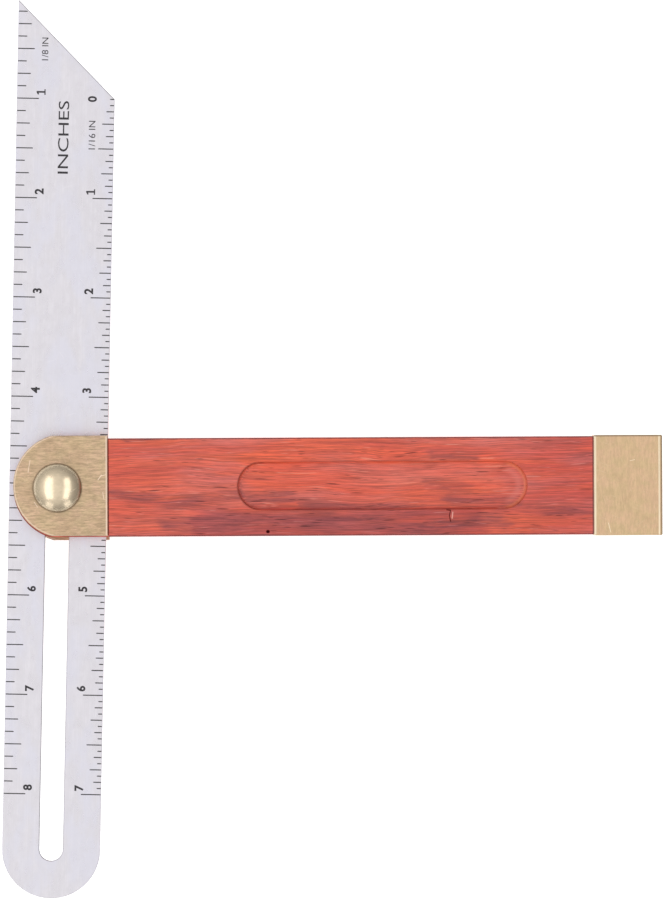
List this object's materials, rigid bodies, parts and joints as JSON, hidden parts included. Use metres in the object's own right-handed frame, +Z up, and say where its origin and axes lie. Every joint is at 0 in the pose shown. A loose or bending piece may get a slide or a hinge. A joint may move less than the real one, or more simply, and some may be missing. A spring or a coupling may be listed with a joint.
{
  "type": "sliding T-bevel",
  "caption": "Sliding T-bevel: a graduated steel blade with a long slot swings and slides in the sawn kerf of a brass-ended hardwood stock, clamped by a bolt and wing nut.",
  "frame": {"origin": "bottom centre of the whole tool's box as it lies on its wing nut side with the blade square across the stock", "axes": "+X along the stock from its rounded head to its butt, +Y towards the blade's pointed tip, +Z up through the domed head of the pivot bolt"},
  "size_m": [0.169, 0.2298, 0.0331],
  "materials": {
    "rosewood": "satin",
    "brass_sheet": "brushed",
    "polished_brass": "polished",
    "plain_brass": "satin",
    "cast_brass": "tumbled",
    "blade_steel": "brushed"
  },
  "bodies": {
    "stock": {"wood_stock": "rosewood", "front_bolster": "brass_sheet", "back_bolster": "brass_sheet", "butt_cap": "brass_sheet", "front_bolster_pin_1": "plain_brass", "front_bolster_pin_2": "plain_brass", "front_bolster_pin_3": "plain_brass", "front_bolster_pin_4": "plain_brass", "back_bolster_pin_1": "plain_brass", "back_bolster_pin_2": "plain_brass", "back_bolster_pin_3": "plain_brass", "back_bolster_pin_4": "plain_brass", "cap_screw_1": "plain_brass", "cap_screw_2": "plain_brass"},
    "bolt": {"pivot_bolt": "polished_brass"},
    "blade": {"blade": "blade_steel"},
    "washer": {"clamp_washer": "plain_brass"},
    "nut": {"wing_nut": "cast_brass"}
  },
  "joints": [
    {"name": "blade_turn", "type": "hinge", "parent": "stock", "child": "bolt", "pos_m": [-0.06971, -0.00995, 0.0202], "axis": [0, 0, 1], "range_deg": [-76.6, 259.4]},
    {"name": "blade_slide", "type": "slide", "parent": "bolt", "child": "blade", "axis": [0.0244, 0.9997, 0], "range_m": [-0.0014, 0.0902]},
    {"name": "washer_lift", "type": "slide", "parent": "bolt", "child": "washer", "axis": [0, 0, -1], "range_m": [0, 0.001]},
    {"name": "nut_turn", "type": "hinge", "parent": "washer", "child": "nut", "pos_m": [-0.06971, -0.00995, 0.0202], "axis": [0, 0, -1], "range_deg": [0, 360]}
  ],
  "couplings": [
    {"joint": "washer_lift", "follows": "nut_turn", "m_per_rad": 0.00015915}
  ]
}
